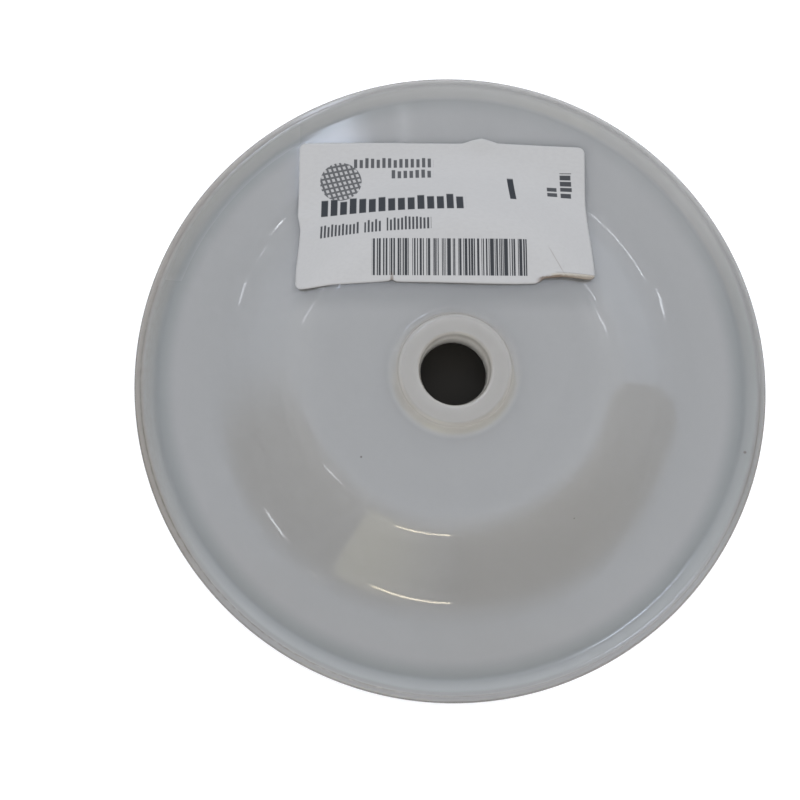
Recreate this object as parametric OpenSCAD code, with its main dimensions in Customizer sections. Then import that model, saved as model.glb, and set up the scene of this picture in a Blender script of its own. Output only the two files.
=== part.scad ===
// Pump diaphragm: one moulding of milky thermoplastic polyurethane, with a paper parts label
// stuck across the slope of its front.
// Z runs along the bore, out of the front. Z = 0 is the plane that the back bead seats on.
// The moulding is turned from one half section, so every seat, bend and fillet is a true
// surface of revolution. The label takes its seat from the same section.

/* [Moulding] */
// Diameter over the outer lip
overall_d = 148; // [140:1:180]
// Wall thickness of the plateau, the slope and the flat annulus
web_t = 3.5; // [2.8:0.1:4.5]

/* [Hub] */
// Diameter of the centre bore
bore_d = 15.4; // [12:0.1:19]
// How far the bore's wall leans outwards at the front, to lead the bolt in
lead_in_w = 0.5; // [0.2:0.1:0.8]
// Depth of that lead-in below the hub's front face
lead_in_l = 3; // [2:0.5:5]
// Width of the hub's top face round the bore, corner to corner
hub_wall = 5; // [4:0.1:7]
// Height of the front hub above the plateau
hub_rise = 2.4; // [2:0.1:6]
// Height of the matching hub behind the plateau
hub_back_rise = 3.2; // [2.5:0.1:5]
// Draft of the hub's side, in degrees from upright
hub_draft = 12; // [4:1:20]
// Rounding of the hub's outer edge
hub_edge_round = 1; // [0.4:0.1:1.2]
// Fillet where the hub meets the plateau
hub_fillet = 2; // [0.5:0.1:2.6]
// Rounding of the two ends of the bore
bore_edge_round = 0.7; // [0.3:0.1:0.9]

/* [Plateau and slope] */
// Radius at which the flat plateau starts to bend down
plateau_r = 32.4; // [28:0.1:40]
// Height of the plateau above the flat annulus
step_rise = 8.6; // [5:0.1:11]
// Radius of the upper, outward bend of the slope
upper_bend_r = 15.5; // [8:0.5:20]
// Radius of the lower, hollow bend of the slope
lower_bend_r = 21; // [8:0.5:26]
// Width of the flat annulus between the slope and the rim's flank
annulus_w = 11.7; // [8:0.1:15]

/* [Rim] */
// Height of the rim's crest above the annulus
rim_rise = 1.3; // [0.8:0.1:1.8]
// Width of the rim's inner flank, seen from the front
rim_flank_w = 2.7; // [2:0.05:2.8]
// Distance from the outer edge to the corner at the flank's foot
rim_foot_in = 5; // [4.7:0.1:6]
// Fillet at the flank's foot, and rounding of its crest where there is room for it
rim_round = 3; // [1:0.1:3.4]
// Distance from the outer edge to the shallow step between crest and lip
crease_in = 1.5; // [1.3:0.05:1.6]
// Depth of that step
crease_drop = 0.15; // [0.1:0.05:0.4]
// Thickness of the outer lip
lip_t = 3.2; // [2.4:0.1:3.6]
// Rounding of the lip's two edges
lip_edge_round = 0.8; // [0.4:0.1:1.1]

/* [Back bead] */
// Depth of the bead behind the annulus, down to its seat
bead_drop = 1.3; // [0.9:0.1:3]
// Distance from the outer edge to the bead's outer wall
bead_out_in = 2.4; // [2:0.1:3]
// Width of the bead behind the annulus
bead_w = 5; // [4:0.1:6]
// Rounding of the bead's seat corners and fillets at its foot
bead_round = 0.8; // [0.4:0.1:1]

/* [Label] */
// Length of the paper label
label_l = 69.5; // [56:0.5:80]
// Height of the paper label, seen from the front
label_w = 36; // [28:0.5:40]
// Thickness of the paper with its glue
label_t = 0.15; // [0.1:0.01:0.2]
// Rounding of the label's corners
label_corner_r = 1.5; // [0.5:0.1:3]
// Distance of the label's middle from the bore axis, sideways
label_x = -1.75; // [-4:0.25:4]
// Distance from the bore axis to the label's lower edge
label_low_y = 20.75; // [18:0.25:26]
// Turn of the label about the bore axis, in degrees
label_turn = 0; // [-4:0.5:4]

/* [Hidden] */
$fn = 240;

outer_r = overall_d / 2;
bore_r = bore_d / 2;
hub_r = bore_r + hub_wall;

annulus_z = bead_drop + web_t;
bead_h = annulus_z + rim_rise;
plateau_z = annulus_z + step_rise;
hub_z = plateau_z + hub_rise;
plateau_back_z = plateau_z - web_t;
hub_back_z = plateau_back_z - hub_back_rise;
lip_z = bead_h - crease_drop;
lip_back_z = lip_z - lip_t;

rim_foot_r = outer_r - rim_foot_in;
rim_crest_r = rim_foot_r + rim_flank_w;
rim_turn = tan(atan(rim_rise / rim_flank_w) / 2);
crease_r = outer_r - crease_in;
bead_out_r = outer_r - bead_out_in;
bead_in_r = bead_out_r - bead_w;
slope_foot_r = rim_foot_r - annulus_w;

// Slope of the step between plateau and annulus: two bends joined by a straight cone.
// The bends shrink together where the step is too short for them.
step_run = slope_foot_r - plateau_r;
bend_room = 0.96 * (step_run * step_run + step_rise * step_rise) / (2 * step_rise);
bend_share = min(1, bend_room / (upper_bend_r + lower_bend_r));
upper_r = bend_share * upper_bend_r;
lower_r = bend_share * lower_bend_r;
cone_l = sqrt(step_run * step_run + step_rise * step_rise - 2 * step_rise * (upper_r + lower_r));
half_turn = atan((step_run - cone_l) / (2 * (upper_r + lower_r) - step_rise));
min_bend_r = 0.5;

// Shallow step from the crest down to the lip
crease_spread = 0.25;
crest_out_round = 0.3;
crease_round = 0.3;
crest_out_r = crease_r - crease_spread;
crease_turn = tan(atan(crease_drop / crease_spread) / 2);
crest_room = crest_out_r - crest_out_round * crease_turn - rim_crest_r;
crest_round = min(rim_round, 0.98 * crest_room / rim_turn);

// The hub's edge rounding and foot fillet shrink together where its side is too short for them
hub_spread = hub_rise * tan(hub_draft);
hub_back_spread = hub_back_rise * tan(hub_draft);
hub_turn = tan((90 - hub_draft) / 2);
hub_room = 0.98 * min(hub_rise, hub_back_rise) / cos(hub_draft);
hub_share = min(1, hub_room / ((hub_edge_round + hub_fillet) * hub_turn));
hub_edge_r = hub_share * hub_edge_round;
hub_foot_r = hub_share * hub_fillet;
lead_in_round = 6;

// Corners of the half section, against the clock from the back end of the bore.
// Each is [radius, height, rounding].
section = [
    [bore_r, hub_back_z, bore_edge_round],
    [hub_r, hub_back_z, hub_edge_r],
    [hub_r + hub_back_spread, plateau_back_z, hub_foot_r],
    [plateau_r + (upper_r - web_t) * tan(half_turn), plateau_back_z, max(min_bend_r, upper_r - web_t)],
    [slope_foot_r - (lower_r + web_t) * tan(half_turn), bead_drop, lower_r + web_t],
    [bead_in_r, bead_drop, bead_round],
    [bead_in_r + bead_round, 0, bead_round],
    [bead_out_r, 0, bead_round],
    [bead_out_r, lip_back_z, bead_round / 2],
    [outer_r, lip_back_z, lip_edge_round],
    [outer_r, lip_z, lip_edge_round],
    [crease_r, lip_z, crease_round],
    [crest_out_r, bead_h, crest_out_round],
    [rim_crest_r, bead_h, crest_round],
    [rim_foot_r, annulus_z, rim_round],
    [slope_foot_r - lower_r * tan(half_turn), annulus_z, lower_r],
    [plateau_r + upper_r * tan(half_turn), plateau_z, upper_r],
    [hub_r + hub_spread, plateau_z, hub_foot_r],
    [hub_r, hub_z, hub_edge_r],
    [bore_r + lead_in_w, hub_z, bore_edge_round],
    [bore_r, hub_z - lead_in_l, lead_in_round],
];

label_high_y = label_low_y + label_w;
label_corners = [
    [label_x + label_l / 2, label_low_y, label_corner_r],
    [label_x + label_l / 2, label_high_y, label_corner_r],
    [label_x - label_l / 2, label_high_y, label_corner_r],
    [label_x - label_l / 2, label_low_y, label_corner_r],
];
// The paper stays between the hub's fillet and the rim's flank
label_in_r = hub_r + hub_spread + hub_foot_r * hub_turn;
label_out_r = rim_foot_r - rim_round * rim_turn;

function xy(p) = [p[0], p[1]];
function unit(v) = v / norm(v);
function cross_z(a, b) = a[0] * b[1] - a[1] * b[0];
// Directions from corner i to its two neighbours
function to_last(c, i) = unit(xy(c[(i + len(c) - 1) % len(c)]) - xy(c[i]));
function to_next(c, i) = unit(xy(c[(i + 1) % len(c)]) - xy(c[i]));
// Half of the angle between the two sides at corner i
function half_angle(c, i) = acos(to_last(c, i) * to_next(c, i)) / 2;
// Distance from corner i to the two points where its rounding starts
function tangent_l(c, i) = c[i][2] / tan(half_angle(c, i));
function tangent_a(c, i) = xy(c[i]) + tangent_l(c, i) * to_last(c, i);
function tangent_b(c, i) = xy(c[i]) + tangent_l(c, i) * to_next(c, i);
function round_centre(c, i) =
    xy(c[i]) + c[i][2] / sin(half_angle(c, i)) * unit(to_last(c, i) + to_next(c, i));
function is_hollow(c, i) = cross_z(to_next(c, i), to_last(c, i)) < 0;

// The piece of a corner that lies inside its rounding circle
module corner_arc(c, i) {
    intersection() {
        polygon([tangent_a(c, i), xy(c[i]), tangent_b(c, i)]);
        translate(round_centre(c, i)) circle(r = c[i][2]);
    }
}

// Polygon whose corners, given as [x, y, radius], are rounded or filleted by true arcs
module rounded_outline(c) {
    difference() {
        union() {
            polygon([for (i = [0 : len(c) - 1]) each [tangent_a(c, i), tangent_b(c, i)]]);
            for (i = [0 : len(c) - 1]) if (!is_hollow(c, i)) corner_arc(c, i);
        }
        for (i = [0 : len(c) - 1]) if (is_hollow(c, i)) corner_arc(c, i);
    }
}

// One moulding: bored hub, plateau, slope, annulus, rim and back bead
module diaphragm() {
    color("#a6abad") rotate_extrude() rounded_outline(section);
}

// Paper that follows the moulding's front, cut to the label's outline
module label() {
    color("#ededec") intersection() {
        rotate_extrude() intersection() {
            difference() {
                translate([0, label_t]) rounded_outline(section);
                rounded_outline(section);
            }
            translate([label_in_r, annulus_z]) square([label_out_r - label_in_r, hub_z]);
        }
        rotate(label_turn) linear_extrude(hub_z + label_t) rounded_outline(label_corners);
    }
}

diaphragm();
label();
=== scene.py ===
"""Looks of a pump diaphragm: a milky polyurethane moulding with a paper parts label stuck on it.

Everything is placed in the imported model's own frame: Z runs along the bore, out of the front,
and Z = 0 is the plane of the back bead's seat. Sizes here are in millimetres and are turned to
metres where a mesh, lamp or camera is made.
"""

import logging
import math
from dataclasses import dataclass, field
from enum import Enum

import bpy
import numpy as np
from mathutils import Matrix, Vector, noise


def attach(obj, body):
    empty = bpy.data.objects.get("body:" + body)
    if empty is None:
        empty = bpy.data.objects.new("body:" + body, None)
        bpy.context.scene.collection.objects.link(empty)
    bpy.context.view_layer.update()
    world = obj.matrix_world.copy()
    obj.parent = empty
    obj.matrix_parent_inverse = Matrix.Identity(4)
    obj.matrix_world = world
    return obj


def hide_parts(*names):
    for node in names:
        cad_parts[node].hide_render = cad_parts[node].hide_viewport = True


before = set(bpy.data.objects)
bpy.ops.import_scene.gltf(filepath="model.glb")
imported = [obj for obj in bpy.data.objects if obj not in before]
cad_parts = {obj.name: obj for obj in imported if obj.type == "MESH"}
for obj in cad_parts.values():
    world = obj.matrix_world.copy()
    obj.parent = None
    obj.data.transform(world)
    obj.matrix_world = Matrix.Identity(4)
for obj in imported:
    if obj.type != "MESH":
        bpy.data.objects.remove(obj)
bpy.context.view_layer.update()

MM = 0.001
log = logging.getLogger("diaphragm")


def linear(hex_colour: str) -> tuple[float, float, float, float]:
    """Turns an sRGB hex colour into the linear colour that the shaders take.

    Args:
        hex_colour: Six hex digits after a hash, such as "#a0a4a6".

    Returns:
        Red, green, blue and an alpha of 1.
    """
    def channel(digits: str) -> float:
        """One channel's linear value."""
        s = int(digits, 16) / 255
        return s / 12.92 if s <= 0.04045 else ((s + 0.055) / 1.055) ** 2.4

    return (channel(hex_colour[1:3]), channel(hex_colour[3:5]), channel(hex_colour[5:7]), 1.0)


def glowing(hex_colour: str, level: float) -> tuple[float, float, float, float]:
    """The linear colour of a surface that shines this many times as strongly as white paper."""
    return tuple(level * c for c in linear(hex_colour)[:3]) + (1.0,)


def unit(v: np.ndarray) -> np.ndarray:
    """The vector v at length 1."""
    return v / np.linalg.norm(v)


def smooth_step(t: np.ndarray) -> np.ndarray:
    """A soft 0 to 1 ramp of t, flat at both ends."""
    t = np.clip(t, 0, 1)
    return t * t * (3 - 2 * t)


def add_node(tree: bpy.types.NodeTree, kind: str, settings: dict | None = None,
             inputs: dict | None = None) -> bpy.types.Node:
    """Adds one shader node, sets it up and wires its inputs.

    Args:
        tree: The node tree that the node goes into.
        kind: The node's type name, such as "ShaderNodeMath".
        settings: Properties of the node itself, by name.
        inputs: Input sockets by name or number, each with a constant or an output socket.

    Returns:
        The new node.
    """
    node = tree.nodes.new(kind)
    for name, value in (settings or {}).items():
        setattr(node, name, value)
    for key, value in (inputs or {}).items():
        if isinstance(value, bpy.types.NodeSocket):
            tree.links.new(value, node.inputs[key])
        else:
            node.inputs[key].default_value = value
    return node


class Sum(Enum):
    """The sums that a maths node does here."""

    ADD = "ADD"
    SUBTRACT = "SUBTRACT"
    MULTIPLY = "MULTIPLY"
    DIVIDE = "DIVIDE"
    LARGER = "MAXIMUM"
    SMALLER = "MINIMUM"
    SIZE = "ABSOLUTE"
    ROOT = "SQRT"
    WHOLE = "FLOOR"
    FRACTION = "FRACT"
    ARC_TANGENT = "ARCTAN2"
    ARC_COSINE = "ARCCOSINE"


# The two ends of a ramp, where it is 0 and where it is 1, or the two limits of a band
Ends = tuple[float, float]


@dataclass(frozen=True)
class Wire:
    """A value in a shader that sums can be written with; each sum adds its node."""

    tree: bpy.types.NodeTree
    socket: bpy.types.NodeSocket

    def sum(self, operation: Sum, *others: "Wire | float") -> "Wire":
        """Adds a maths node.

        Args:
            operation: What the node does.
            others: What follows this value as the node's inputs.

        Returns:
            The result.
        """
        inputs = {0: self.socket}
        for i, other in enumerate(others, 1):
            inputs[i] = other.socket if isinstance(other, Wire) else other
        node = add_node(self.tree, "ShaderNodeMath", {"operation": operation.value}, inputs)
        return Wire(self.tree, node.outputs[0])

    def __add__(self, other: "Wire | float") -> "Wire":
        """This value plus another."""
        return self.sum(Sum.ADD, other)

    def __sub__(self, other: "Wire | float") -> "Wire":
        """This value less another."""
        return self.sum(Sum.SUBTRACT, other)

    def __mul__(self, other: "Wire | float") -> "Wire":
        """This value times another."""
        return self.sum(Sum.MULTIPLY, other)

    def __truediv__(self, other: "Wire | float") -> "Wire":
        """This value over another."""
        return self.sum(Sum.DIVIDE, other)

    def __or__(self, other: "Wire | float") -> "Wire":
        """The larger of two masks."""
        return self.sum(Sum.LARGER, other)

    def __and__(self, other: "Wire | float") -> "Wire":
        """The smaller of two masks."""
        return self.sum(Sum.SMALLER, other)

    def ramp(self, none: float, full: float) -> "Wire":
        """A soft ramp from 0 to 1 as this value goes from none to full, which may be the smaller."""
        node = add_node(self.tree, "ShaderNodeMapRange", {"interpolation_type": "SMOOTHSTEP"},
                        {"Value": self.socket, "From Min": none, "From Max": full})
        return Wire(self.tree, node.outputs["Result"])

    def within(self, low: float, high: float, soft: float) -> "Wire":
        """A mask that is 1 between two limits, with edges this soft."""
        return self.ramp(low - soft / 2, low + soft / 2) & self.ramp(high + soft / 2, high - soft / 2)


def blend(tree: bpy.types.NodeTree, mask: Wire, below: object, above: object) -> bpy.types.NodeSocket:
    """Lays one colour over another where a mask says so.

    Args:
        tree: The node tree.
        mask: 0 for the colour below, 1 for the one above.
        below: A colour, or a socket that gives one.
        above: Another.

    Returns:
        The socket of the blended colour.
    """
    node = add_node(tree, "ShaderNodeMix", {"data_type": "RGBA"}, {0: mask.socket})
    for slot, colour in ((6, below), (7, above)):
        if isinstance(colour, bpy.types.NodeSocket):
            tree.links.new(colour, node.inputs[slot])
        else:
            node.inputs[slot].default_value = colour
    return node.outputs[2]


@dataclass
class Coat:
    """A surface colour that is built up in layers."""

    tree: bpy.types.NodeTree
    colour: object

    def lay(self, mask: Wire, hex_colour: str) -> None:
        """Lays one more colour over those so far, where a mask says so."""
        self.colour = blend(self.tree, mask, self.colour, linear(hex_colour))


@dataclass(frozen=True)
class Plan:
    """The shaded point's place in the part's frame, in millimetres."""

    x: Wire
    y: Wire
    z: Wire

    def distance(self, x: float = 0.0, y: float = 0.0) -> Wire:
        """How far the point is from an upright line, the bore's axis unless told otherwise."""
        away_x, away_y = self.x - x, self.y - y
        return (away_x * away_x + away_y * away_y).sum(Sum.ROOT)


def plan_of(tree: bpy.types.NodeTree) -> Plan:
    """Adds the nodes that give the shaded point's place.

    Args:
        tree: The node tree.

    Returns:
        The place.
    """
    place = add_node(tree, "ShaderNodeTexCoord").outputs["Object"]
    parts = add_node(tree, "ShaderNodeSeparateXYZ", {}, {0: place}).outputs
    return Plan(*(Wire(tree, part) * (1 / MM) for part in parts))


def mottling(tree: bpy.types.NodeTree, across: float, grain: float) -> Wire:
    """Adds a patchy noise.

    Args:
        tree: The node tree.
        across: Width of the piece in millimetres, over which the noise's own place runs from 0 to 1.
        grain: Width of one patch in millimetres.

    Returns:
        The noise, about 0.5 on average.
    """
    patches = add_node(tree, "ShaderNodeTexNoise", {}, {"Scale": across / grain, "Detail": 3.0})
    return Wire(tree, patches.outputs[0])


def new_material(name: str) -> tuple[bpy.types.Material, bpy.types.NodeTree]:
    """Starts a material.

    Args:
        name: What it is made of and how.

    Returns:
        The material and its node tree, with no nodes yet.
    """
    material = bpy.data.materials.new(name)
    material.use_nodes = True
    material.node_tree.nodes.clear()
    return material, material.node_tree


@dataclass(frozen=True)
class Corner:
    """One corner of a half section: where it is, and the radius of the arc that rounds it."""

    r: float
    z: float
    arc: float


@dataclass
class MouldingSection:
    """The moulding's half section, from the same driving sizes as the solid model."""

    outer_r: float = 74.0
    web: float = 3.5
    bore_r: float = 7.7
    lead_in: float = 0.5
    lead_in_depth: float = 3.0
    lead_in_arc: float = 6.0
    hub_wall: float = 5.0
    hub_rise: float = 2.4
    hub_back_rise: float = 3.2
    hub_draft_deg: float = 12.0
    hub_edge: float = 1.0
    hub_fillet: float = 2.0
    bore_edge: float = 0.7
    plateau_r: float = 32.4
    step_rise: float = 8.6
    upper_bend: float = 15.5
    lower_bend: float = 21.0
    annulus_width: float = 11.7
    bead_drop: float = 1.3
    rim_rise: float = 1.3
    rim_flank: float = 2.7
    rim_foot_in: float = 5.0
    rim_arc: float = 3.0
    crease_in: float = 1.5
    crease_drop: float = 0.15
    crease_spread: float = 0.25
    crease_arc: float = 0.3
    lip_height: float = 3.2
    lip_edge: float = 0.8
    bead_out_in: float = 2.4
    bead_width: float = 5.0
    bead_arc: float = 0.8
    arc_share: float = 0.98

    def corners(self) -> list[Corner]:
        """Works out the section's corners.

        Returns:
            The corners, against the clock from the back end of the bore.
        """
        annulus = self.bead_drop + self.web
        bead = annulus + self.rim_rise
        plateau = annulus + self.step_rise
        hub = plateau + self.hub_rise
        plateau_back = plateau - self.web
        hub_back = plateau_back - self.hub_back_rise
        lip = bead - self.crease_drop
        hub_r = self.bore_r + self.hub_wall
        spread = math.tan(math.radians(self.hub_draft_deg))
        foot_r = self.outer_r - self.rim_foot_in
        crest_r = foot_r + self.rim_flank
        crease_r = self.outer_r - self.crease_in
        bead_out_r = self.outer_r - self.bead_out_in
        bead_in_r = bead_out_r - self.bead_width
        slope_foot = foot_r - self.annulus_width
        run, rise, arcs = slope_foot - self.plateau_r, self.step_rise, self.upper_bend + self.lower_bend
        cone = math.sqrt(run * run + rise * rise - 2 * rise * arcs)
        turn = (run - cone) / (2 * arcs - rise)
        rim_turn = math.tan(math.atan2(self.rim_rise, self.rim_flank) / 2)
        step_turn = math.tan(math.atan2(self.crease_drop, self.crease_spread) / 2)
        crest_out_r = crease_r - self.crease_spread
        crest_room = crest_out_r - self.crease_arc * step_turn - crest_r
        crest_arc = min(self.rim_arc, self.arc_share * crest_room / rim_turn)
        hub_turn = math.tan(math.radians(90 - self.hub_draft_deg) / 2)
        hub_side = min(self.hub_rise, self.hub_back_rise) / math.cos(math.radians(self.hub_draft_deg))
        hub_room = self.arc_share * hub_side
        share = min(1.0, hub_room / ((self.hub_edge + self.hub_fillet) * hub_turn))
        edge, fillet = share * self.hub_edge, share * self.hub_fillet
        return [
            Corner(self.bore_r, hub_back, self.bore_edge),
            Corner(hub_r, hub_back, edge),
            Corner(hub_r + self.hub_back_rise * spread, plateau_back, fillet),
            Corner(self.plateau_r + (self.upper_bend - self.web) * turn, plateau_back,
                   self.upper_bend - self.web),
            Corner(slope_foot - (self.lower_bend + self.web) * turn, self.bead_drop,
                   self.lower_bend + self.web),
            Corner(bead_in_r, self.bead_drop, self.bead_arc),
            Corner(bead_in_r + self.bead_arc, 0.0, self.bead_arc),
            Corner(bead_out_r, 0.0, self.bead_arc),
            Corner(bead_out_r, lip - self.lip_height, self.bead_arc / 2),
            Corner(self.outer_r, lip - self.lip_height, self.lip_edge),
            Corner(self.outer_r, lip, self.lip_edge),
            Corner(crease_r, lip, self.crease_arc),
            Corner(crest_out_r, bead, self.crease_arc),
            Corner(crest_r, bead, crest_arc),
            Corner(foot_r, annulus, self.rim_arc),
            Corner(slope_foot - self.lower_bend * turn, annulus, self.lower_bend),
            Corner(self.plateau_r + self.upper_bend * turn, plateau, self.upper_bend),
            Corner(hub_r + self.hub_rise * spread, plateau, fillet),
            Corner(hub_r, hub, edge),
            Corner(self.bore_r + self.lead_in, hub, self.bore_edge),
            Corner(self.bore_r, hub - self.lead_in_depth, self.lead_in_arc),
        ]

    def outline(self, longest: float = 1.2, arc_step_deg: float = 6.0) -> tuple[np.ndarray, np.ndarray]:
        """Samples the closed section as points with the true surface's normals.

        Args:
            longest: Longest side between two points, in millimetres.
            arc_step_deg: Largest turn between two points of an arc.

        Returns:
            Two arrays of [radius, height] rows, against the clock: the points, none of them twice,
            and their outward normals.
        """
        corners = self.corners()
        count = len(corners)
        points: list[tuple[np.ndarray, np.ndarray]] = []
        for i, corner in enumerate(corners):
            here = np.array([corner.r, corner.z])
            last, after = corners[i - 1], corners[(i + 1) % count]
            to_last = unit(np.array([last.r, last.z]) - here)
            to_next = unit(np.array([after.r, after.z]) - here)
            half = math.acos(float(np.clip(to_last @ to_next, -1, 1))) / 2
            start = here + corner.arc / math.tan(half) * to_last
            centre = here + corner.arc / math.sin(half) * unit(to_last + to_next)
            turn = math.pi - 2 * half
            steps = max(2, math.ceil(math.degrees(turn) / arc_step_deg),
                        math.ceil(turn * corner.arc / longest))
            side = 1 if to_next[0] * to_last[1] - to_next[1] * to_last[0] > 0 else -1
            spoke = start - centre
            for k in range(steps + 1):
                a = side * turn * k / steps
                c, s = math.cos(a), math.sin(a)
                turned = np.array([c * spoke[0] - s * spoke[1], s * spoke[0] + c * spoke[1]])
                points.append((centre + turned, side * unit(turned)))
        filled: list[tuple[np.ndarray, np.ndarray]] = []
        for i, (p, normal) in enumerate(points):
            q = points[(i + 1) % len(points)][0]
            gap = float(np.linalg.norm(q - p))
            if gap < 1e-4:
                continue
            pieces = max(1, math.ceil(gap / longest))
            # A straight side keeps the normal that the arc before it ends with
            filled += [(p + (q - p) * k / pieces, normal) for k in range(pieces)]
        return np.array([p for p, _ in filled]), np.array([n for _, n in filled])

    def front_height(self, radius: np.ndarray) -> np.ndarray:
        """Height of the front surface, from the hub's fillet out to the rim's crest.

        Args:
            radius: Distances from the bore's axis.

        Returns:
            The height at each.
        """
        outline, _ = self.outline(longest=0.25, arc_step_deg=1.5)
        past_hub_edge, short_of_crease, slope_run = 2.0, 0.4, 22.0
        low = self.bore_r + self.hub_wall + past_hub_edge
        high = self.outer_r - self.crease_in - short_of_crease
        middle = self.bead_drop + self.web / 2
        near = outline[(outline[:, 0] > low) & (outline[:, 0] < high)]
        # The front is what lies above the middle of the wall
        wall_middle = np.interp(near[:, 0], [self.plateau_r, self.plateau_r + slope_run],
                                [middle + self.step_rise, middle])
        front = near[near[:, 1] > wall_middle]
        front = front[np.argsort(front[:, 0])]
        return np.interp(radius, front[:, 0], front[:, 1])


@dataclass(frozen=True)
class Speck:
    """A grain of dirt on the moulding: where it lies and how large it is."""

    x: float
    y: float
    r: float


@dataclass(frozen=True)
class MilkyPolyurethane:
    """Injection-moulded thermoplastic polyurethane, unpigmented, from a polished mould.

    Sizes and places are in millimetres, and depth is how far light soaks in.
    """

    web_colour: str = "#8d8c89"
    thick_colour: str = "#898680"
    foot_light_colour: str = "#b9b6ae"
    bore_light_colour: str = "#cfccc5"
    rim_light_colour: str = "#9fa09f"
    rim_colour: str = "#7b7c79"
    lip_colour: str = "#76746f"
    low_lip_colour: str = "#7b7a78"
    shade_colour: str = "#000000"
    left_rim_colour: str = "#6e685f"
    outer_edge_shade_colour: str = "#3d3b38"
    dirt_colour: str = "#57524a"
    roughness: float = 0.065
    dulled: float = 0.2
    foot_dulled: float = 0.22
    ior: float = 1.5
    depth: float = 18.0
    # Dust and the rim's darker left side lie in patches this wide, over a moulding this wide
    grain: float = 1.64444
    across: float = 148.0
    # The hub
    hub_r: Ends = (15.0, 12.0)
    foot_r: float = 13.7
    foot_reach: Ends = (2.1, 0.3)
    foot_z: Ends = (12.0, 13.2)
    weak_light: Ends = (-16.0, 13.0)
    foot_light_least: float = 0.1
    foot_light_gain: float = 0.42
    hub_edge_r: Ends = (11.9, 13.2)
    hub_edge_soft: float = 0.5
    hub_top_z: Ends = (14.6, 15.2)
    hub_edge_shade: float = 0.14
    bore_r: Ends = (8.45, 8.05)
    bore_z: Ends = (15.2, 11.5)
    # The label's shadow in the web
    label_x: Ends = (-36.0, 33.0)
    label_x_soft: float = 6.0
    label_low_y: Ends = (13.0, 18.0)
    label_high_y: Ends = (60.0, 56.0)
    label_shade: float = 0.16
    # The rim
    rim_r: Ends = (64.0, 69.0)
    rim_top: Ends = (30.0, 66.0)
    rim_top_loss: float = 0.7
    flank_r: Ends = (69.0, 71.3)
    flank_y: Ends = (15.0, 55.0)
    flank_light_gain: float = 0.25
    soft: float = 0.8
    lip_r: Ends = (71.2, 72.2)
    low_y: Ends = (-22.0, -58.0)
    right_x: Ends = (58.0, 70.0)
    right_shade: float = 0.16
    # The crease between crest and lip
    front_z: Ends = (4.5, 5.0)
    crease_r: float = 72.42
    crease_reach: Ends = (0.32, 0.05)
    filled_r: float = 72.36
    filled_reach: Ends = (0.42, 0.1)
    crease_light_gain: float = 0.25
    # Dirt, the rim's darker left side, painted shade on the lip's outer edge, and wear on the gloss
    dusty: Ends = (0.3, 0.62)
    dust_side: Ends = (-40.0, 50.0)
    dust_left: Ends = (20.0, -40.0)
    dust_least: float = 0.05
    dust_gain: float = 0.45
    rim_patchy: Ends = (0.2, 0.7)
    left_rim_side: Ends = (38.0, 72.0)
    left_rim_r: Ends = (68.5, 71.5)
    left_rim_least: float = 0.15
    left_rim_gain: float = 0.3
    left_rim_lip_r: Ends = (71.6, 72.6)
    left_rim_lip: float = 0.8
    outer_edge_shade_r: Ends = (73.35, 73.9)
    outer_edge_shade: float = 0.75
    speck_edge: Ends = (1.5, 0.5)
    speck_dirt: float = 0.85
    handled_r: Ends = (69.2, 71.6)
    handled_x: Ends = (52.0, 60.0)
    rubbed_r: Ends = (67.6, 71.6)
    rubbed_soft: float = 0.6
    rubbed_x: Ends = (-26.0, -38.0)
    rubbed_y: Ends = (10.0, 25.0)
    specks: tuple[Speck, ...] = (
        Speck(-21.0, -19.5, 0.22), Speck(68.2, -17.6, 0.3), Speck(-34.0, 53.5, 0.35),
        Speck(27.0, -33.0, 0.14))

    def colour_hub(self, coat: Coat, plan: Plan, r: Wire) -> None:
        """Colours the hub, paints light at its foot and on the bore's wall, and paints shade on its edge.

        Args:
            coat: The colours so far.
            plan: The shaded point's place.
            r: Its distance from the bore's axis.
        """
        # The thick hub looks a little warmer than the thin web
        coat.lay(r.ramp(*self.hub_r), self.thick_colour)
        # Painted light: a paler ring at the hub's foot fills the shade there, most of all where the room's
        # light is weak
        foot = (r - self.foot_r).sum(Sum.SIZE).ramp(*self.foot_reach) * plan.z.ramp(*self.foot_z)
        weak = (plan.y * -0.9 - plan.x.sum(Sum.SIZE) * 0.1).ramp(*self.weak_light)
        coat.lay(foot * (weak * self.foot_light_gain + self.foot_light_least), self.foot_light_colour)
        # Painted shade darkens the hub's top edge
        edge = r.within(*self.hub_edge_r, self.hub_edge_soft) * plan.z.ramp(*self.hub_top_z)
        coat.lay(edge * self.hub_edge_shade, self.shade_colour)
        # Painted light: the bore's wall is painted lighter, as though lit by the light inside the hub
        coat.lay(r.ramp(*self.bore_r) * plan.z.ramp(*self.bore_z), self.bore_light_colour)

    def colour_rim(self, coat: Coat, plan: Plan, r: Wire) -> None:
        """Colours the rim and its lip, and paints light on its flank and in the crease between.

        Args:
            coat: The colours so far.
            plan: The shaded point's place.
            r: Its distance from the bore's axis.
        """
        # The rim is darker than the web, less so towards the top, and its lip darker still
        top = (plan.y * 0.9 + plan.x * 0.4).ramp(*self.rim_top)
        coat.lay(r.ramp(*self.rim_r) * (top * -self.rim_top_loss + 1.0), self.rim_colour)
        # Painted light: the flank is painted lighter towards the top and the bottom
        flank = r.within(*self.flank_r, self.soft) * plan.y.sum(Sum.SIZE).ramp(*self.flank_y)
        coat.lay(flank * self.flank_light_gain, self.rim_light_colour)
        lip, low = r.ramp(*self.lip_r), plan.y.ramp(*self.low_y)
        coat.lay(lip, self.lip_colour)
        # The lip is paler along the bottom and darker at the right
        coat.lay(lip * low, self.low_lip_colour)
        coat.lay(lip * plan.x.ramp(*self.right_x) * self.right_shade, self.shade_colour)
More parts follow.
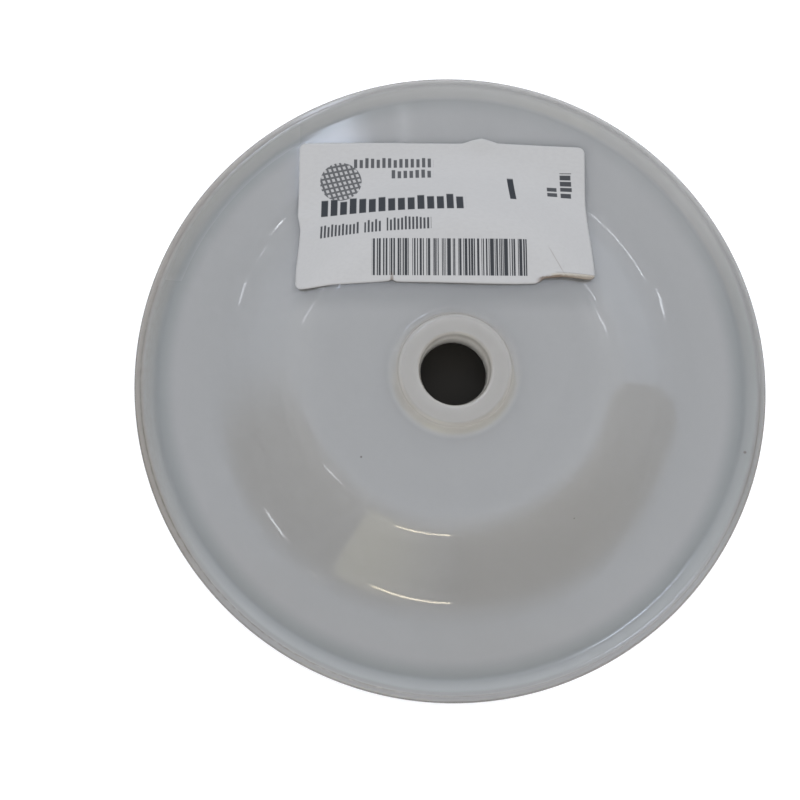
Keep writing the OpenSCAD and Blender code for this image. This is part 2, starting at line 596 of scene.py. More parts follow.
        # Painted light: along the bottom the crease is painted lighter, as if light from the lip and the
        # crest filled it
        filled = (r - self.filled_r).sum(Sum.SIZE).ramp(*self.filled_reach) * low
        coat.lay(filled * plan.z.ramp(*self.front_z) * self.crease_light_gain, self.rim_light_colour)

    def soil_and_shade(self, coat: Coat, plan: Plan, r: Wire) -> None:
        """Lays on dust, the rim's darker left side, painted shade on the lip's outer edge, and specks of
        dirt.

        Args:
            coat: The colours so far.
            plan: The shaded point's place.
            r: Its distance from the bore's axis.
        """
        patchy = mottling(coat.tree, self.across, self.grain)
        # Dust has settled in the crease beside the lip, more of it on the left and below
        lower_left = (plan.x * -0.6 - plan.y * 0.5).ramp(*self.dust_side)
        crease = (r - self.crease_r).sum(Sum.SIZE).ramp(*self.crease_reach) * plan.z.ramp(*self.front_z)
        dusty = patchy.ramp(*self.dusty) * (lower_left * self.dust_gain + self.dust_least)
        dirt = crease * dusty * plan.x.ramp(*self.dust_left)
        # The rim's left side is darker and browner, in patches
        left = (plan.x * -0.94 + plan.y * 0.1).ramp(*self.left_rim_side) * r.ramp(*self.left_rim_r)
        rim_patches = patchy.ramp(*self.rim_patchy) * self.left_rim_gain + self.left_rim_least
        coat.lay(left * rim_patches, self.left_rim_colour)
        coat.lay(left * r.ramp(*self.left_rim_lip_r) * self.left_rim_lip, self.left_rim_colour)
        # Painted shade darkens the lip's sharp outer edge all round
        coat.lay(r.ramp(*self.outer_edge_shade_r) * self.outer_edge_shade, self.outer_edge_shade_colour)
        for speck in self.specks:
            outside, inside = (share * speck.r for share in self.speck_edge)
            dirt = dirt | plan.distance(speck.x, speck.y).ramp(outside, inside) * self.speck_dirt
        coat.lay(dirt, self.dirt_colour)

    def gloss(self, plan: Plan, r: Wire) -> Wire:
        """Where the moulded skin keeps its gloss and where hands have dulled it.

        Args:
            plan: The shaded point's place.
            r: Its distance from the bore's axis.

        Returns:
            The roughness.
        """
        handled = r.within(*self.handled_r, self.soft) * plan.x.sum(Sum.SIZE).ramp(*self.handled_x)
        rubbed = r.within(*self.rubbed_r, self.rubbed_soft)
        upper_left = plan.x.ramp(*self.rubbed_x) * plan.y.ramp(*self.rubbed_y)
        dulled = handled * self.dulled | rubbed * upper_left * self.foot_dulled
        return dulled + self.roughness

    def material(self) -> bpy.types.Material:
        """Builds the shader.

        Returns:
            A clouded body that light soaks into, under a smooth moulded skin.
        """
        # To the eye, a cloudy body with soft shadows lies under a wet-looking gloss
        material, tree = new_material("milky_polyurethane")
        plan = plan_of(tree)
        r = plan.distance()
        coat = Coat(tree, linear(self.web_colour))
        self.colour_hub(coat, plan, r)
        # Painted shadow: the web is darker for some way past the label's lower edge, where the label keeps
        # light out
        shaded = plan.x.within(*self.label_x, self.label_x_soft) * plan.y.ramp(*self.label_low_y)
        shaded = shaded * plan.y.ramp(*self.label_high_y)
        coat.lay(shaded * self.label_shade, self.shade_colour)
        self.colour_rim(coat, plan, r)
        self.soil_and_shade(coat, plan, r)
        body = add_node(tree, "ShaderNodeBsdfPrincipled", {"subsurface_method": "RANDOM_WALK"}, {
            "Base Color": coat.colour,
            "Roughness": self.gloss(plan, r).socket,
            "IOR": self.ior,
            "Subsurface Weight": 1.0,
            "Subsurface Radius": (1.0, 1.0, 1.0),
            "Subsurface Scale": self.depth * MM,
        })
        add_node(tree, "ShaderNodeOutputMaterial", {}, {"Surface": body.outputs["BSDF"]})
        return material


@dataclass
class Moulding:
    """The diaphragm itself, turned from its section. Its front starts above front_z."""

    section: MouldingSection = field(default_factory=MouldingSection)
    finish: MilkyPolyurethane = field(default_factory=MilkyPolyurethane)
    turns: int = 300
    wave_height: float = 0.03
    wave_length: float = 14.0
    wave_slice: float = 3.7
    front_z: float = 4.0
    front_normal: float = 0.3

    def wave(self, x: float, y: float) -> float:
        """Slow sink and swell that a thick moulding is left with, in millimetres."""
        place = Vector((x / self.wave_length, y / self.wave_length, self.wave_slice))
        return self.wave_height * noise.noise(place)

    def lean(self, x: float, y: float) -> tuple[float, float]:
        """How steeply that swell rises along x and along y."""
        step = 0.05
        return ((self.wave(x + step, y) - self.wave(x - step, y)) / (2 * step),
                (self.wave(x, y + step) - self.wave(x, y - step)) / (2 * step))

    def build(self) -> bpy.types.Object:
        """Makes the moulding's mesh and dresses it.

        Returns:
            The moulding, riding on the root body in place of its CAD node.
        """
        outline, leaning = self.section.outline()
        rings = len(outline)
        angles = np.linspace(0, 2 * math.pi, self.turns, endpoint=False)
        spokes = np.stack([np.cos(angles), np.sin(angles)], axis=1)
        points, normals = np.empty((self.turns, rings, 3)), np.empty((self.turns, rings, 3))
        for turned, half in ((points, outline), (normals, leaning)):
            turned[..., :2] = spokes[:, None, :] * half[None, :, :1]
            turned[..., 2] = half[None, :, 1]
        flat, normals = points.reshape(-1, 3), normals.reshape(-1, 3)
        front = (normals[:, 2] > self.front_normal) & (flat[:, 2] > self.front_z)
        normals[front, :2] -= normals[front, 2:] * np.array([self.lean(x, y) for x, y, _ in flat[front]])
        flat[:, 2] += [self.wave(x, y) if z > self.front_z else 0.0 for x, y, z in flat]
        faces = [(i * rings + j, (i + 1) % self.turns * rings + j,
                  (i + 1) % self.turns * rings + (j + 1) % rings, i * rings + (j + 1) % rings)
                 for i in range(self.turns) for j in range(rings)]
        mesh = bpy.data.meshes.new("diaphragm_moulding")
        mesh.from_pydata((flat * MM).tolist(), [], faces)
        mesh.polygons.foreach_set("use_smooth", [True] * len(mesh.polygons))
        normals /= np.linalg.norm(normals, axis=1)[:, None]
        mesh.normals_split_custom_set_from_vertices(normals.tolist())
        mesh.materials.append(self.finish.material())
        moulding = bpy.data.objects.new("diaphragm_moulding", mesh)
        bpy.context.scene.collection.objects.link(moulding)
        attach(moulding, "root")
        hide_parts("diaphragm")
        log.info("moulding: %d rings of %d points", self.turns, rings)
        return moulding


class Run(Enum):
    """Which way a row of blocks runs on the label."""

    ACROSS = "across"
    UP = "up"


@dataclass(frozen=True)
class BlockRow:
    """A row of plain printed blocks, from its first corner, in millimetres.

    filled is the share of the pitch that a block takes, and soft the softness of its sides.
    """

    x: float
    y: float
    length: float
    height: float
    pitch: float
    filled: float
    darkness: float
    rise: float = 0.0
    lean: float = 0.0
    run: Run = Run.ACROSS
    gaps: tuple[tuple[float, float], ...] = ()
    soft: float = 0.06
    uneven: float = 0.22
    top: Ends = (0.8, 0.72)
    foot: Ends = (-0.1, 0.1)
    end_soft: float = 0.1

    def mask(self, tree: bpy.types.NodeTree, x: Wire, y: Wire) -> Wire:
        """Where the row prints.

        Args:
            tree: The node tree.
            x: The point's place across the label.
            y: The point's place up the label.

        Returns:
            A mask that is the row's darkness inside its blocks.
        """
        along, across = x - self.x, y - self.y
        if self.run is Run.UP:
            along, across = across, along
        across = across - along * (self.rise / self.length)
        along = along - across * self.lean
        cell = along / self.pitch
        noise_at = add_node(tree, "ShaderNodeTexWhiteNoise", {"noise_dimensions": "1D"},
                            {"W": (cell.sum(Sum.WHOLE) + self.x).socket})
        chance = Wire(tree, noise_at.outputs["Value"])
        inside = cell.sum(Sum.FRACTION).ramp(self.filled + self.soft, self.filled - self.soft)
        past_top, full = (share * self.height for share in self.top)
        tall = (across - chance * (self.uneven * self.height)).ramp(past_top, full)
        row = inside * tall * across.ramp(*self.foot) * along.within(0, self.length, self.end_soft)
        for start, end in self.gaps:
            row = row * (along.within(start, end, self.end_soft) * -1.0 + 1.0)
        return row * self.darkness


@dataclass(frozen=True)
class BarField:
    """A field of fine upright bars, their widths and gaps wandering about one pitch."""

    left: float = -18.8
    right: float = 16.9
    low: float = 22.15
    high: float = 31.0
    pitch: float = 0.66
    drift_length: float = 1.1111
    wander: float = 2.6
    filled: float = 0.56
    soft: float = 0.05
    side_soft: float = 0.05
    end_soft: float = 0.1
    darkness: float = 0.96

    def mask(self, tree: bpy.types.NodeTree, x: Wire, y: Wire) -> Wire:
        """Where the bars print.

        Args:
            tree: The node tree.
            x: The point's place across the label.
            y: The point's place up the label.

        Returns:
            A mask that is the bars' darkness inside them.
        """
        along = x - self.left
        drift = add_node(tree, "ShaderNodeTexNoise", {"noise_dimensions": "1D"},
                         {"W": along.socket, "Scale": 1 / self.drift_length, "Detail": 2.0})
        phase = along / self.pitch + Wire(tree, drift.outputs[0]) * self.wander
        bars = phase.sum(Sum.FRACTION).ramp(self.filled + self.soft, self.filled - self.soft)
        inside = x.within(self.left, self.right, self.side_soft)
        inside = inside * y.within(self.low, self.high, self.end_soft)
        return bars * inside * self.darkness


@dataclass(frozen=True)
class HatchedPatch:
    """A plain round patch that is hatched both ways: its middle, its radius and the lines' pitches."""

    x: float = -26.4
    y: float = 47.4
    r: float = 5.0
    soft: float = 0.1
    steep_pitch: float = 1.15
    steep_line: Ends = (0.5, 0.4)
    flat_pitch: float = 1.3
    flat_line: Ends = (0.45, 0.35)
    ground: float = 0.1
    lines: float = 0.7

    def mask(self, plan: Plan) -> Wire:
        """Where the patch prints.

        Args:
            plan: The shaded point's place.

        Returns:
            A mask that is the patch's darkness.
        """
        x, y = plan.x - self.x, plan.y - self.y
        steep = ((x * 0.94 + y * 0.34) / self.steep_pitch).sum(Sum.FRACTION).ramp(*self.steep_line)
        flat = ((x * -0.2 + y * 0.98) / self.flat_pitch).sum(Sum.FRACTION).ramp(*self.flat_line)
        inside = plan.distance(self.x, self.y).ramp(self.r + self.soft, self.r - self.soft)
        return inside * ((steep | flat) * self.lines + self.ground)


@dataclass(frozen=True)
class LabelPaper:
    """Coated white label paper, thermally printed, yellowed and torn along part of its lower edge.

    Sizes and places are in millimetres.
    """

    paper_colour: str = "#a09f9d"
    mottle_colour: str = "#9b9a98"
    ink_colour: str = "#0d0d0f"
    stain_colour: str = "#55422f"
    fold_colour: str = "#9c9484"
    fold_shadow_colour: str = "#6a655d"
    crease_shade_colour: str = "#77736c"
    roughness: float = 0.55
    specular: float = 0.3
    # The paper is mottled in patches this wide, over a label this wide
    grain: float = 1.15833
    across: float = 69.5
    mottled: Ends = (0.35, 0.7)
    mottle_strength: float = 0.5
    rows: tuple[BlockRow, ...] = (
        BlockRow(-23.3, 51.1, 19.2, 2.7, 1.37, 0.58, 0.85),
        BlockRow(-14.2, 48.1, 10.0, 2.5, 1.43, 0.6, 0.85),
        BlockRow(-31.0, 38.2, 34.2, 4.7, 2.28, 0.72, 0.97, rise=0.5),
        BlockRow(-31.0, 32.1, 25.9, 3.7, 0.86, 0.56, 0.92, rise=1.3, gaps=((9.4, 10.4), (14.4, 15.6))),
        BlockRow(13.9, 42.2, 1.5, 7.3, 1.7, 0.94, 0.98, lean=-0.07),
        BlockRow(23.2, 43.8, 2.8, 2.8, 1.45, 0.72, 0.9, run=Run.UP),
        BlockRow(26.5, 43.6, 6.6, 3.0, 1.6, 0.78, 0.92, run=Run.UP, gaps=((1.45, 1.8),)),
    )
    bars: BarField = field(default_factory=BarField)
    patch: HatchedPatch = field(default_factory=HatchedPatch)
    # How far the noise makes the torn corner's lines wander
    ragged: float = 3.0
    # The folded strip along the torn corner
    strip_x: Ends = (22.5, 33.5)
    strip_soft: float = 1.5
    strip_y: Ends = (22.9, 22.6)
    strip_ragged: float = 0.15
    strip_strength: float = 0.75
    fold_line_x: Ends = (23.5, 33.0)
    fold_line_soft: float = 1.0
    fold_line_at: tuple[float, float] = (26.0, 22.95)
    fold_line_fall: float = 0.03
    fold_line_ragged: float = 0.1
    fold_line_reach: Ends = (0.2, 0.04)
    fold_shadow_strength: float = 0.5
    # The brown fibres along the tear
    tear_y: float = 21.0
    tear_step: float = 0.6
    tear_step_x: Ends = (19.3, 21.8)
    tear_starts: Ends = (18.6, 20.4)
    tear_reach: Ends = (1.0, 0.35)
    tear_ragged: float = 0.35
    tear_pales: Ends = (24.0, 30.0)
    tear_pale_loss: float = 0.35
    nick_x: float = -14.2
    nick_reach: Ends = (0.6, 0.1)
    nick_y: Ends = (23.6, 21.0)
    nick_strength: float = 0.8
    stain_strength: float = 0.85
    # The short crease that rises from the tear, shown as painted shade
    crease_at: tuple[float, float] = (22.1, 29.3)
    crease_lean: float = 0.5
    crease_reach: Ends = (0.22, 0.05)
    crease_y: Ends = (22.9, 29.0)
    crease_soft: float = 2.5
    crease_shade_strength: float = 0.5

    def printed(self, tree: bpy.types.NodeTree, plan: Plan) -> Wire:
        """Where the label is printed.

        Args:
            tree: The node tree.
            plan: The shaded point's place.

        Returns:
            A mask of the print's darkness.
        """
        mask = self.patch.mask(plan)
        for row in self.rows:
            mask = mask | row.mask(tree, plan.x, plan.y)
        return mask | self.bars.mask(tree, plan.x, plan.y)

    def tear(self, coat: Coat, plan: Plan, mottle: Wire) -> None:
        """Colours the torn corner: the folded strip with painted shadow along its fold, the brown fibres
        under it, a nick, and painted shade along a crease.

        Args:
            coat: The colours so far.
            plan: The shaded point's place.
            mottle: The paper's patchy noise.
        """
        x, y = plan.x, plan.y
        ragged = (mottle - 0.5) * self.ragged
        strip = x.within(*self.strip_x, self.strip_soft)
        strip = strip * (y + ragged * self.strip_ragged).ramp(*self.strip_y)
        coat.lay(strip * self.strip_strength, self.fold_colour)
        # Painted shadow: a thin dark line along the fold
        line_x, line_y = self.fold_line_at
        off_line = y - line_y + (x - line_x) * self.fold_line_fall + ragged * self.fold_line_ragged
        line = off_line.sum(Sum.SIZE).ramp(*self.fold_line_reach)
        line = line * x.within(*self.fold_line_x, self.fold_line_soft)
        coat.lay(line * self.fold_shadow_strength, self.fold_shadow_colour)
        # Brown along the tear itself, palest at its right end
        tear = x.ramp(*self.tear_step_x) * self.tear_step + self.tear_y
        fibres = x.ramp(*self.tear_starts) * (y - tear + ragged * self.tear_ragged).ramp(*self.tear_reach)
        fibres = fibres * (x.ramp(*self.tear_pales) * -self.tear_pale_loss + 1.0)
        nick = (x - self.nick_x).sum(Sum.SIZE).ramp(*self.nick_reach) * y.ramp(*self.nick_y)
        coat.lay((fibres | nick * self.nick_strength) * self.stain_strength, self.stain_colour)
        # Painted shade along the short crease
        crease_x, crease_y = self.crease_at
        off_crease = x - crease_x - (y * -1.0 + crease_y) * self.crease_lean
        crease = off_crease.sum(Sum.SIZE).ramp(*self.crease_reach)
        crease = crease * y.within(*self.crease_y, self.crease_soft)
        coat.lay(crease * self.crease_shade_strength, self.crease_shade_colour)

    def material(self) -> bpy.types.Material:
        """Builds the shader.

        Returns:
            Matt paper with plain dark blocks, a field of bars and brown torn edges.
        """
        # It is matt, so the eye sees its white and its print with no mirror image over them
        material, tree = new_material("label_paper")
        plan = plan_of(tree)
        mottle = mottling(tree, self.across, self.grain)
        coat = Coat(tree, linear(self.paper_colour))
        coat.lay(mottle.ramp(*self.mottled) * self.mottle_strength, self.mottle_colour)
        coat.lay(self.printed(tree, plan), self.ink_colour)
        self.tear(coat, plan, mottle)
        body = add_node(tree, "ShaderNodeBsdfPrincipled", {}, {
            "Base Color": coat.colour,
            "Roughness": self.roughness,
            "Specular IOR Level": self.specular,
        })
        add_node(tree, "ShaderNodeOutputMaterial", {}, {"Surface": body.outputs["BSDF"]})
        return material


@dataclass(frozen=True)
class Bump:
    """A soft swelling of the paper: its height, its middle, and how far it spreads across and up."""

    height: float
    x: float
    y: float
    across: float
    up: float

    def rise(self, x: np.ndarray, y: np.ndarray) -> np.ndarray:
        """How far it lifts the paper at these places."""
        return self.height * np.exp(-((x - self.x) / self.across) ** 2 - ((y - self.y) / self.up) ** 2)


# Points of one side of a sheet, each with its place along the side first
Side = tuple[tuple[float, float], ...]


@dataclass
class PartsLabel:
    """The paper label that lies across the slope above the hub, loosely stuck and a little creased.

    Its four sides are uneven, and its lower edge is torn at the right.
    Sizes are in millimetres.
    """

    section: MouldingSection
    finish: LabelPaper = field(default_factory=LabelPaper)
    top: Side = ((-36.5, 57.3), (-20, 57.6), (3.0, 57.55), (5.5, 58.3), (7.6, 58.7), (9.6, 58.2),
                 (11.4, 57.65), (32.8, 56.75))
    right: Side = ((21.5, 32.8), (24, 33.0), (30, 32.95), (35, 32.75), (42, 32.5), (50, 32.65), (56.8, 32.8))
    bottom: Side = ((-36.5, 19.15), (-34, 19.1), (-31.9, 19.3), (-28.5, 19.8), (-22.7, 20.2), (-15, 20.75),
                    (-14.2, 21.1), (-13.2, 20.6), (-3.2, 20.45), (6.3, 20.2), (14.1, 20.15), (18.6, 20.3),
                    (19.6, 20.7), (20.7, 21.5), (25.3, 21.75), (30.4, 21.35), (32.8, 21.5))
    left: Side = ((19.2, -36.5), (25.2, -36.5), (30.9, -36.1), (35.3, -35.95), (38.7, -36.6), (46.6, -36.5),
                  (57.3, -36.5))
    corner: float = 1.6
    thickness: float = 0.1
    gap: float = 0.04
    columns: int = 150
    rows: int = 80
    side_pull: int = 8
    # The torn corner stands off the moulding, from here to the right and downwards
    torn_lift: float = 0.9
    torn_x: float = 19.0
    torn_width: float = 5.0
    torn_y: float = 24.0
    torn_height: float = 3.0
    bumps: tuple[Bump, ...] = (
        Bump(0.7, 7.5, 60.0, 3.6, 4.0),
        Bump(0.5, -36.0, 19.0, 6.0, 4.0),
        Bump(0.45, -37.0, 38.5, 4.0, 1.6),
        Bump(0.25, -30.0, 33.0, 6.0, 1.2),
        Bump(0.35, -14.2, 20.0, 1.2, 2.5),
        Bump(0.22, 24.8, 25.5, 1.0, 3.5),
        Bump(0.5, 4.0, 19.0, 15.0, 3.2),
    )
    cockle_height: float = 0.07
    cockle_length: float = 7.0
    cockle_slice: float = 0.4
    fine_share: float = 0.4
    fine_length: float = 3.0
    fine_slice: float = 5.1

    def side(self, keys: Side, count: int, inward: int) -> np.ndarray:
        """Samples one side of the outline from mid corner to mid corner.

        Args:
            keys: The side's points.
            count: How many cells the side has.
            inward: 1 where the sheet lies on the greater side of it, -1 where on the lesser.

        Returns:
            An array of [place along, place across] rows.
        """
        start, end = keys[0][0], keys[-1][0]
        inset = self.corner * (1 - math.sqrt(0.5))
        along = np.linspace(start + inset, end - inset, count + 1)
        table = np.array(keys)
        across = np.interp(along, table[:, 0], table[:, 1])
        # Near its ends the side follows the round corners
        near = np.minimum(along - start, end - along)
        drop = np.sqrt(np.maximum(0, self.corner ** 2 - (self.corner - near) ** 2))
        cut = np.where(near < self.corner, self.corner - drop, 0)
        return np.stack([along, across + inward * cut], axis=1)

    def sheet(self) -> tuple[np.ndarray, np.ndarray]:
        """Spreads a grid between the four sides.

        Returns:
            The grid's x and its y, row by row from the lower side up.
        """
        low, high = self.side(self.bottom, self.columns, 1), self.side(self.top, self.columns, -1)
        left = self.side(self.left, self.rows, 1)[:, ::-1]
        right = self.side(self.right, self.rows, -1)[:, ::-1]
        # The left and right sides are pulled onto the ends of the other two, near the corners only
        t = np.linspace(0, 1, self.rows + 1)[:, None]
        for side, a, b in ((left, low[0], high[0]), (right, low[-1], high[-1])):
            side += (a - side[0]) * (1 - t) ** self.side_pull + (b - side[-1]) * t ** self.side_pull
        u = np.linspace(0, 1, self.columns + 1)[None, :, None]
        v = np.linspace(0, 1, self.rows + 1)[:, None, None]
        upwards = (1 - v) * low[None] + v * high[None]
        sideways = (1 - u) * left[:, None] + u * right[:, None]
        twice_counted = ((1 - u) * (1 - v) * low[0] + u * (1 - v) * low[-1]
                         + (1 - u) * v * high[0] + u * v * high[-1])
        sheet = upwards + sideways - twice_counted
        return sheet[..., 0], sheet[..., 1]

    def cockle(self, x: float, y: float) -> float:
        """The paper's own unevenness at one place, about -1 to 1."""
        coarse = noise.noise(Vector((x / self.cockle_length, y / self.cockle_length, self.cockle_slice)))
        fine = noise.noise(Vector((x / self.fine_length, y / self.fine_length, self.fine_slice)))
        return coarse + self.fine_share * fine

    def lift(self, x: np.ndarray, y: np.ndarray) -> np.ndarray:
        """Works out how far the paper stands off the moulding.

        Args:
            x: The sheet's places across.
            y: Its places upwards.

        Returns:
            The distance at each place, in millimetres.
        """
        to_right = smooth_step((x - self.torn_x) / self.torn_width)
        to_edge = smooth_step((self.torn_y - y) / self.torn_height)
        rise = self.torn_lift * to_right * to_edge + sum(bump.rise(x, y) for bump in self.bumps)
        uneven = np.array([[self.cockle(a, b) for a, b in zip(xs, ys)] for xs, ys in zip(x, y)])
        return rise + self.cockle_height * (1 + uneven)

    def build(self) -> bpy.types.Object:
        """Makes the paper sheet.

        Returns:
            The label, riding on the root body in place of its CAD node.
        """
        x, y = self.sheet()
        low = self.section.front_height(np.hypot(x, y)) + self.gap + self.lift(x, y)
        under = np.stack([x, y, low], axis=-1).reshape(-1, 3)
        upper = under + [0, 0, self.thickness]
        wide, tall = self.columns + 1, self.rows + 1
        size = wide * tall
        faces = []
        for r in range(self.rows):
            for c in range(self.columns):
                quad = (r * wide + c, r * wide + c + 1, (r + 1) * wide + c + 1, (r + 1) * wide + c)
                faces += [quad, tuple(size + k for k in reversed(quad))]
        # The paper's cut edge, against the clock from its lower left corner
        edge = list(range(wide)) + [r * wide + wide - 1 for r in range(1, tall)]
        edge += [(tall - 1) * wide + c for c in range(wide - 2, -1, -1)]
        edge += [r * wide for r in range(tall - 2, 0, -1)]
        for a, b in zip(edge, edge[1:] + edge[:1]):
            faces.append((a, size + a, size + b, b))
        mesh = bpy.data.meshes.new("parts_label")
        mesh.from_pydata((np.concatenate([upper, under]) * MM).tolist(), [], faces)
        mesh.polygons.foreach_set("use_smooth", [True] * len(mesh.polygons))
        mesh.materials.append(self.finish.material())
        label = bpy.data.objects.new("parts_label", mesh)
        bpy.context.scene.collection.objects.link(label)
        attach(label, "root")
        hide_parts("label")
        log.info("label: %d by %d cells", self.columns, self.rows)
        return label


@dataclass(frozen=True)
class CeilingLamp:
    """A flat lamp under the ceiling, from the two ends of its middle line seen from above.

    Sizes are in millimetres, and a lamp of another size keeps its radiance.
    """

    name: str
    start: tuple[float, float]
    end: tuple[float, float]
    wide: float
    radiance: float
    colour: str
    height: float = 2200.0

    def build(self) -> bpy.types.Object:
        """Makes the lamp.

        Returns:
            The lamp, facing straight down.
        """
        run = Vector(self.end) - Vector(self.start)
        data = bpy.data.lights.new(self.name, "AREA")
        data.shape = "RECTANGLE"
        data.size = run.length * MM
        data.size_y = self.wide * MM
        # A flat lamp's radiance is its power over pi times its area
        data.energy = self.radiance * math.pi * data.size * data.size_y
        data.color = linear(self.colour)[:3]
        lamp = bpy.data.objects.new(self.name, data)
        bpy.context.scene.collection.objects.link(lamp)
        middle = (Vector(self.start) + Vector(self.end)) / 2
        lamp.location = (middle.x * MM, middle.y * MM, self.height * MM)
        lamp.rotation_euler = (0, 0, math.atan2(run.y, run.x))
        log.info("lamp %s: %.0f by %.0f mm", self.name, run.length, self.wide)
        return lamp


@dataclass(frozen=True)
class RoomPatch:
    """A part of the room that is darker or lighter than the rest, by the direction in which it is seen.

    Its middle direction, its reach to either side and the softness of those ends are in degrees seen
    from above, and its tilts are in degrees from straight up.
    """

    azimuth: float
    left: float
    left_soft: float
    right: float
    right_soft: float
    tilt_starts: Ends
    strength: float
    tilt_ends: Ends = (220.0, 200.0)

    def mask(self, x: Wire, y: Wire, z: Wire) -> Wire:
        """How much of the patch lies in a direction.

        Args:
            x: The direction's x.
            y: The direction's y.
            z: The direction's z.

        Returns:
            A mask of 0 to 1, before the patch's strength.
        """
        c, s = math.cos(math.radians(self.azimuth)), math.sin(math.radians(self.azimuth))
        round_way = (y * c - x * s).sum(Sum.ARC_TANGENT, x * c + y * s) * math.degrees(1)
        tilt = z.sum(Sum.ARC_COSINE) * math.degrees(1)
        half_left, half_right = self.left_soft / 2, self.right_soft / 2
        return (round_way.ramp(-self.left - half_left, -self.left + half_left)
                * round_way.ramp(self.right + half_right, self.right - half_right)
                * tilt.ramp(*self.tilt_starts) * tilt.ramp(*self.tilt_ends))


@dataclass(frozen=True)
class WhiteBoard:
    """Matt white board for the floor, with a dark patch of painted shade under the part. Sizes are in
    millimetres.
    """

    colour: str = "#f6f6f6"
    unseen_colour: str = "#8c8a86"
    glow: float = 0.2
    shadow_patch_colour: str = "#3a3835"
    shadow_patch_r: Ends = (56.0, 54.0)

    def material(self) -> bpy.types.Material:
        """Builds the shader.

        Returns:
            Matt white with the dark patch of painted shade, clear from behind.
        """
        # The board gives the eye a plain pale ground, and the dark patch is painted shade under the part
        # that darkens the bore
        material, tree = new_material("matt_white_board")
        under = plan_of(tree).distance().ramp(*self.shadow_patch_r)
        rays = add_node(tree, "ShaderNodeLightPath").outputs
        seen = Wire(tree, rays["Is Camera Ray"]) | Wire(tree, rays["Is Glossy Ray"])
        seen = seen | Wire(tree, rays["Is Transmission Ray"])
        # It lights the part less than it would if it were as pale as it looks
        coat = Coat(tree, linear(self.unseen_colour))
        coat.lay(seen, self.colour)
        coat.lay(under, self.shadow_patch_colour)
        matt = add_node(tree, "ShaderNodeBsdfDiffuse", {}, {"Color": coat.colour})
        glow = add_node(tree, "ShaderNodeEmission", {}, {
            "Color": (1, 1, 1, 1), "Strength": (seen * (under * -1.0 + 1.0) * self.glow).socket})
        both = add_node(tree, "ShaderNodeAddShader", {}, {0: matt.outputs[0], 1: glow.outputs[0]})
        # Seen from beneath, the floor is clear, so that it doesn't hide the part's back
        beneath = add_node(tree, "ShaderNodeNewGeometry").outputs["Backfacing"]
        clear = add_node(tree, "ShaderNodeBsdfTransparent").outputs[0]
        board = add_node(tree, "ShaderNodeMixShader", {}, {0: beneath, 1: both.outputs[0], 2: clear})
        add_node(tree, "ShaderNodeOutputMaterial", {}, {"Surface": board.outputs[0]})
        return material


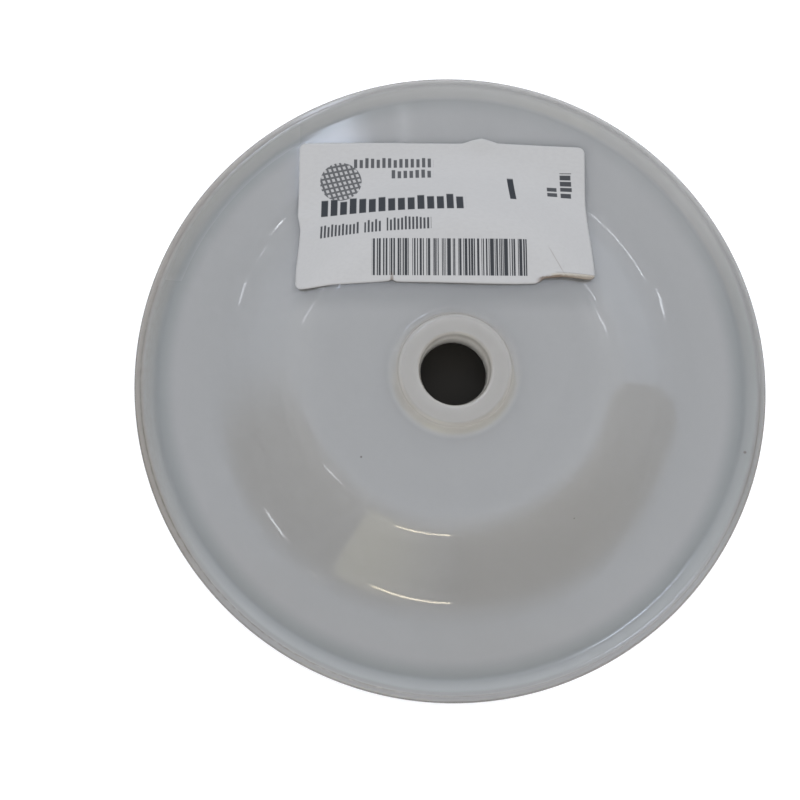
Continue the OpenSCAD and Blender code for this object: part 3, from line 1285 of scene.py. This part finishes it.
@dataclass
class Studio:
    """Floor, lamps, room and camera. None of it belongs to the part."""

    camera_place: tuple[float, float, float] = (-16.81, -38.23, 231.62)
    camera_aim: tuple[float, float, float] = (-12.145, -5.298, 4.0)
    lens: float = 44.125
    sensor: float = 36.0
    nearest_seen: float = 1.0
    ceiling_colour: str = "#f4f6fc"
    ceiling_level: float = 1.7
    mirrored_colour: str = "#d6e7ff"
    mirrored_level: float = 2.0
    wall_colour: str = "#ffecc4"
    wall_level: float = 0.25
    horizon: Ends = (-0.05, 0.1)
    soaked_contrast: float = 0.35
    panel_colour: str = "#f8f5d6"
    panel_level: float = 1.95
    panel: RoomPatch = RoomPatch(240, 3.5, 2, 20, 36, (20, 32), 0.95, (82, 62))
    walls: tuple[RoomPatch, ...] = (
        RoomPatch(300, 40, 50, 40, 45, (6, 44), 1.0),
        RoomPatch(215, 40, 30, 45, 30, (5, 32), 0.7),
        RoomPatch(350, 35, 35, 17, 3, (26, 46), 0.75),
        RoomPatch(260, 75, 40, 75, 40, (-1, 9), 0.28),
    )
    lamps: tuple[CeilingLamp, ...] = (
        CeilingLamp("window", (-230, 1040), (-95, 1040), 160, 7.0, "#dfeaff"),
        CeilingLamp("window_near", (-212, 790), (-72, 790), 340, 12.5, "#d8e6ff"),
        CeilingLamp("window_middle", (-95, 1040), (-62, 1040), 160, 2.4, "#dfeaff"),
        CeilingLamp("window_right", (-72, 790), (-34, 790), 340, 1.8, "#e6efff"),
        CeilingLamp("window_slit", (42, 870), (54, 870), 500, 4.0, "#f4f7ff"),
        CeilingLamp("warm_strip", (-537, -1466), (165, -1452), 95, 16.0, "#fff0d0"),
        CeilingLamp("right_strip", (1640, 1050), (2020, 1020), 80, 11.5, "#f4f8ff"),
        CeilingLamp("right_far", (1590, 2185), (2195, 1553), 80, 14.0, "#f4f8ff"),
        CeilingLamp("left_strip", (-1430, 1025), (-1120, 1070), 70, 7.8, "#f4f8ff"),
        CeilingLamp("left_spot", (-1030, 1192), (-960, 1198), 60, 9.0, "#f4f8ff"),
        CeilingLamp("left_near", (-700, 1128), (-600, 1136), 60, 15.5, "#f4f8ff"),
        CeilingLamp("low_left", (-1130, -550), (-880, -610), 75, 8.8, "#f4f8ff"),
        CeilingLamp("low_spot", (-398, -400), (-368, -397), 36, 11.0, "#fff8ea"),
    )
    floor_half: float = 1500.0
    floor_drop: float = 0.02
    floor_finish: WhiteBoard = field(default_factory=WhiteBoard)

    def build(self) -> None:
        """Makes the camera, the lamps, the room's light and the floor."""
        self.build_camera()
        for lamp in self.lamps:
            lamp.build()
        self.build_room()
        self.build_floor()
        bpy.context.scene.view_settings.view_transform = "Standard"

    def build_camera(self) -> bpy.types.Object:
        """Makes the camera.

        Returns:
            The camera, turned to its aim with the part's +Y upwards in the picture.
        """
        data = bpy.data.cameras.new("camera")
        data.lens = self.lens
        data.sensor_width = self.sensor
        data.clip_start = self.nearest_seen * MM
        camera = bpy.data.objects.new("camera", data)
        bpy.context.scene.collection.objects.link(camera)
        place, aim = Vector(self.camera_place) * MM, Vector(self.camera_aim) * MM
        ahead = (aim - place).normalized()
        right = ahead.cross(Vector((0, 1, 0))).normalized()
        turn = Matrix((right, right.cross(ahead), -ahead)).transposed()
        camera.matrix_world = Matrix.Translation(place) @ turn.to_4x4()
        bpy.context.scene.camera = camera
        log.info("camera: %.1f mm lens", self.lens)
        return camera

    def build_room(self) -> bpy.types.World:
        """Paints the room's light on the world: a bluish ceiling, dimmed where walls and furniture stand.

        Returns:
            The world.
        """
        world = bpy.data.worlds.new("room")
        bpy.context.scene.world = world
        world.use_nodes = True
        tree = world.node_tree
        tree.nodes.clear()
        way = add_node(tree, "ShaderNodeTexCoord").outputs["Generated"]
        parts = add_node(tree, "ShaderNodeSeparateXYZ", {}, {0: way}).outputs
        x, y, z = (Wire(tree, part) for part in parts)
        # Below the horizon the room is as dim as its walls
        open_sky = z.ramp(*self.horizon)
        for wall in self.walls:
            open_sky = open_sky * (wall.mask(x, y, z) * -wall.strength + 1.0)
        # The mirrored room keeps its contrast; what soaks into the part is the room's evener light
        mirrored = Wire(tree, add_node(tree, "ShaderNodeLightPath").outputs["Is Glossy Ray"])
        open_sky = (open_sky - 1.0) * (mirrored * (1.0 - self.soaked_contrast) + self.soaked_contrast) + 1.0
        ceiling = blend(tree, mirrored, glowing(self.ceiling_colour, self.ceiling_level),
                        glowing(self.mirrored_colour, self.mirrored_level))
        colour = blend(tree, open_sky, glowing(self.wall_colour, self.wall_level), ceiling)
        # A lit panel on the wall, sharp on its left and fading to the right
        colour = blend(tree, self.panel.mask(x, y, z) * mirrored * self.panel.strength, colour,
                       glowing(self.panel_colour, self.panel_level))
        sky = add_node(tree, "ShaderNodeBackground", {}, {"Color": colour, "Strength": 1.0})
        add_node(tree, "ShaderNodeOutputWorld", {}, {"Surface": sky.outputs["Background"]})
        log.info("room: %d dark walls and a lit panel", len(self.walls))
        return world

    def build_floor(self) -> bpy.types.Object:
        """Lays the floor, a hair below the part so that the two never share a face.

        Returns:
            The floor.
        """
        half = self.floor_half * MM
        mesh = bpy.data.meshes.new("floor")
        mesh.from_pydata([(-half, -half, 0), (half, -half, 0), (half, half, 0), (-half, half, 0)], [],
                         [(0, 1, 2, 3)])
        mesh.materials.append(self.floor_finish.material())
        floor = bpy.data.objects.new("floor", mesh)
        floor.location.z = -self.floor_drop * MM
        bpy.context.scene.collection.objects.link(floor)
        log.info("floor: %.0f mm wide", 2 * self.floor_half)
        return floor


def main() -> None:
    """Builds the part's pieces and the studio, and reports each."""
    logging.basicConfig(level=logging.INFO, format="%(name)s %(message)s")
    moulding = Moulding()
    moulding.build()
    PartsLabel(moulding.section).build()
    Studio().build()


if __name__ == "__main__":
    main()
